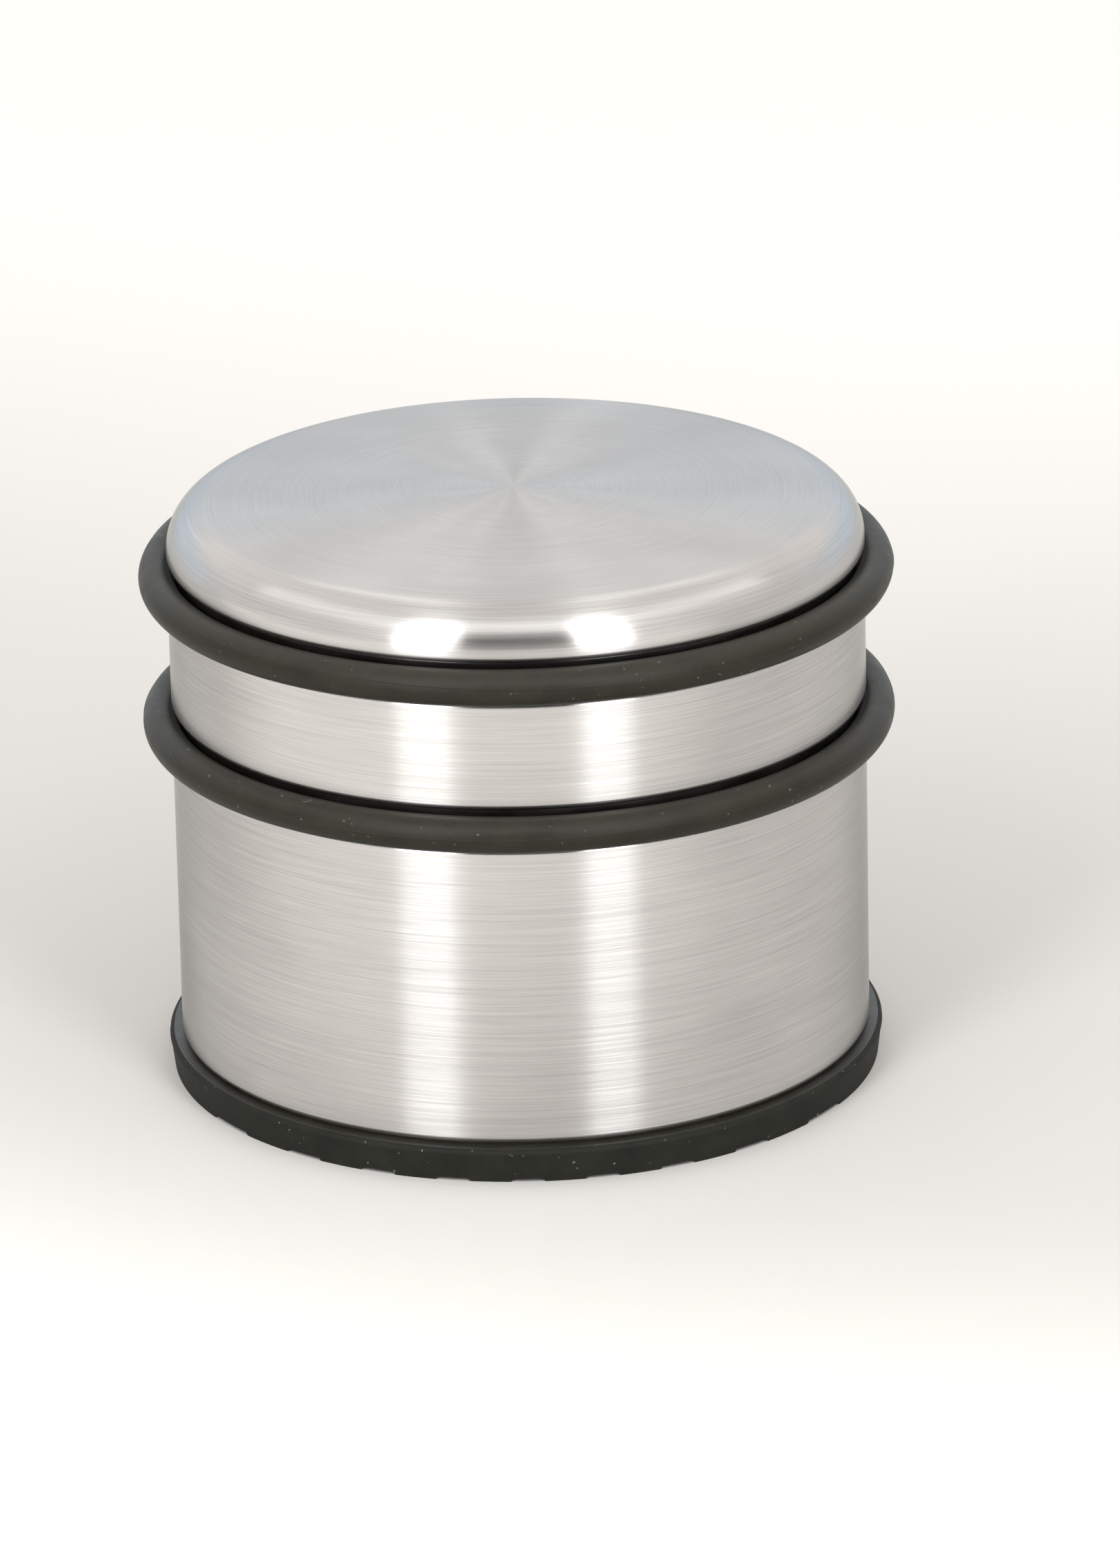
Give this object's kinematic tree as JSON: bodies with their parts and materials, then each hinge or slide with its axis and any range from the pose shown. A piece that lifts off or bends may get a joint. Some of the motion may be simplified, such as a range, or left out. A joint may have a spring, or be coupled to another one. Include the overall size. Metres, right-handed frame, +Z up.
{
  "type": "door stop",
  "caption": "Free-standing weighted floor door stop: a domed, brushed steel drum with rubber bumper rings round its upper part and a treaded rubber foot.",
  "frame": {"origin": "centre of the foot, on the floor that it stands on", "axes": "+Z up along the drum's axis, +X to the right, +Y to the back; the foot's tread bars run along Y"},
  "size_m": [0.0898, 0.0898, 0.0716],
  "materials": {
    "brushed_shell": "stainless steel, finely brushed round the wall and in circles on the crown, clear satin",
    "cast_concrete": "plain cast concrete",
    "plated_disc": "zinc-plated sheet steel, dull",
    "cured_adhesive": "cured contact adhesive, amber",
    "foot_rubber": "moulded matte rubber, near black",
    "ring_rubber": "moulded rubber, dark warm grey, with a faint sheen"
  },
  "bodies": {
    "root": {"outer_shell": "brushed_shell", "ballast_block": "cast_concrete", "closing_disc": "plated_disc", "foot_adhesive": "cured_adhesive", "rubber_foot": "foot_rubber", "upper_bumper_ring": "ring_rubber", "lower_bumper_ring": "ring_rubber"}
  },
  "joints": []
}
